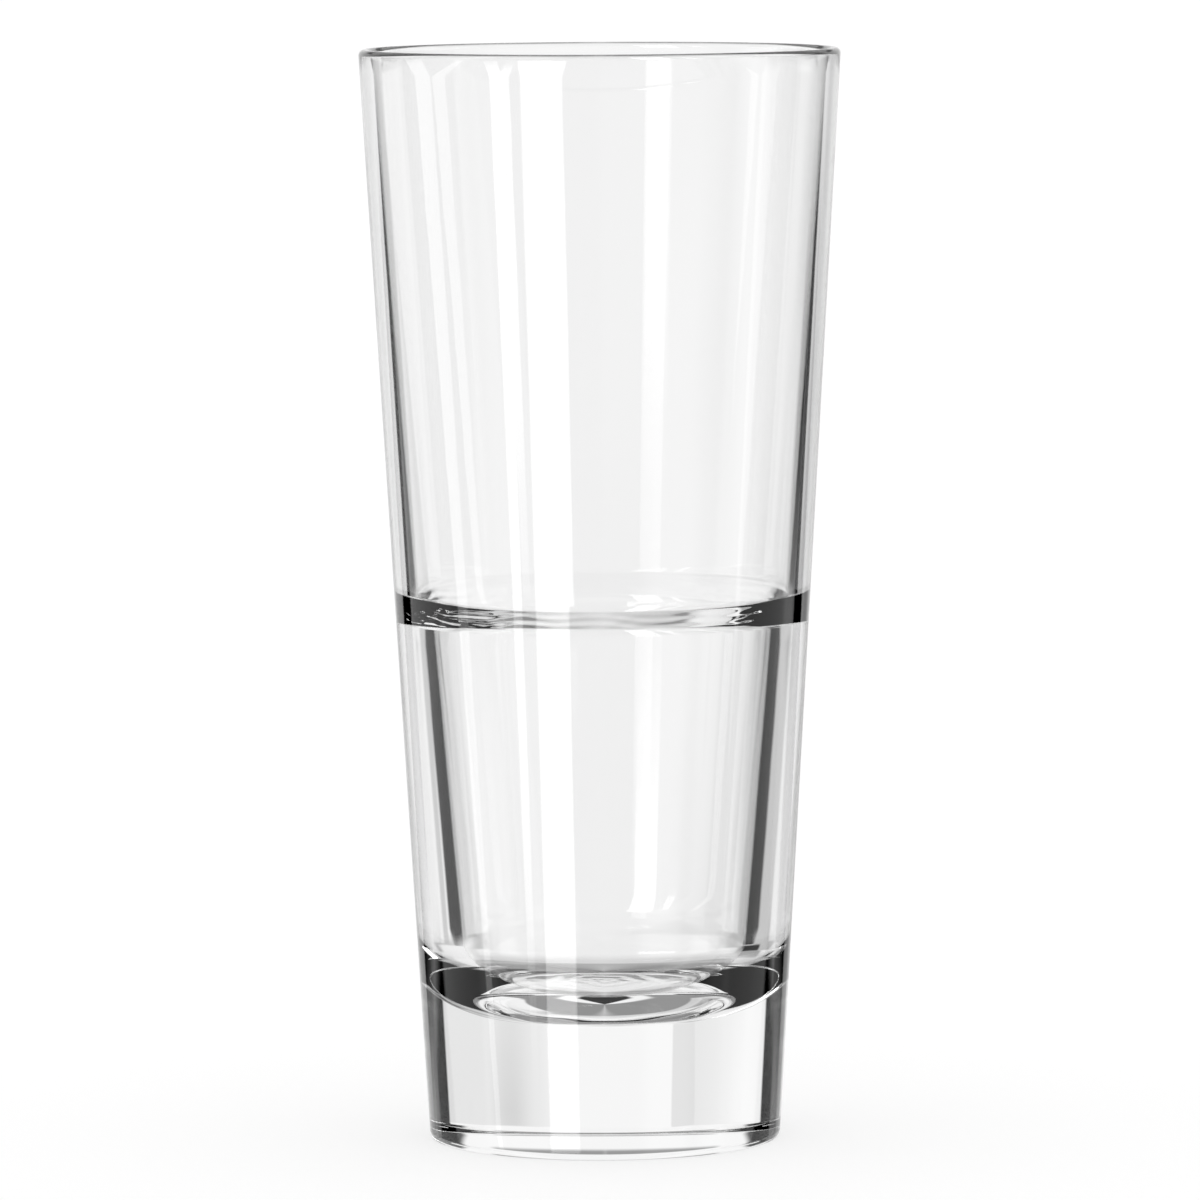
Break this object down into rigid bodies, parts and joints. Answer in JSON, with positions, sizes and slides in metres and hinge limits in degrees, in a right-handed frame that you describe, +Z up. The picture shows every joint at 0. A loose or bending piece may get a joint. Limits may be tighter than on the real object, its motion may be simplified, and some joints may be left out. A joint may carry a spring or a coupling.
{
  "type": "highball glass",
  "caption": "Tall tapered highball glass with a heavy solid base and an inner ledge on which the foot of a like glass rests when they are stacked.",
  "frame": {"origin": "centre of the foot, on the plane of the table", "axes": "+Z up along the glass's axis; the glass is round, so +X and +Y are alike"},
  "size_m": [0.0726, 0.0726, 0.165],
  "materials": {
    "glass": "clear, fire-polished, smooth"
  },
  "bodies": {
    "root": {"tumbler": "glass"}
  },
  "joints": []
}
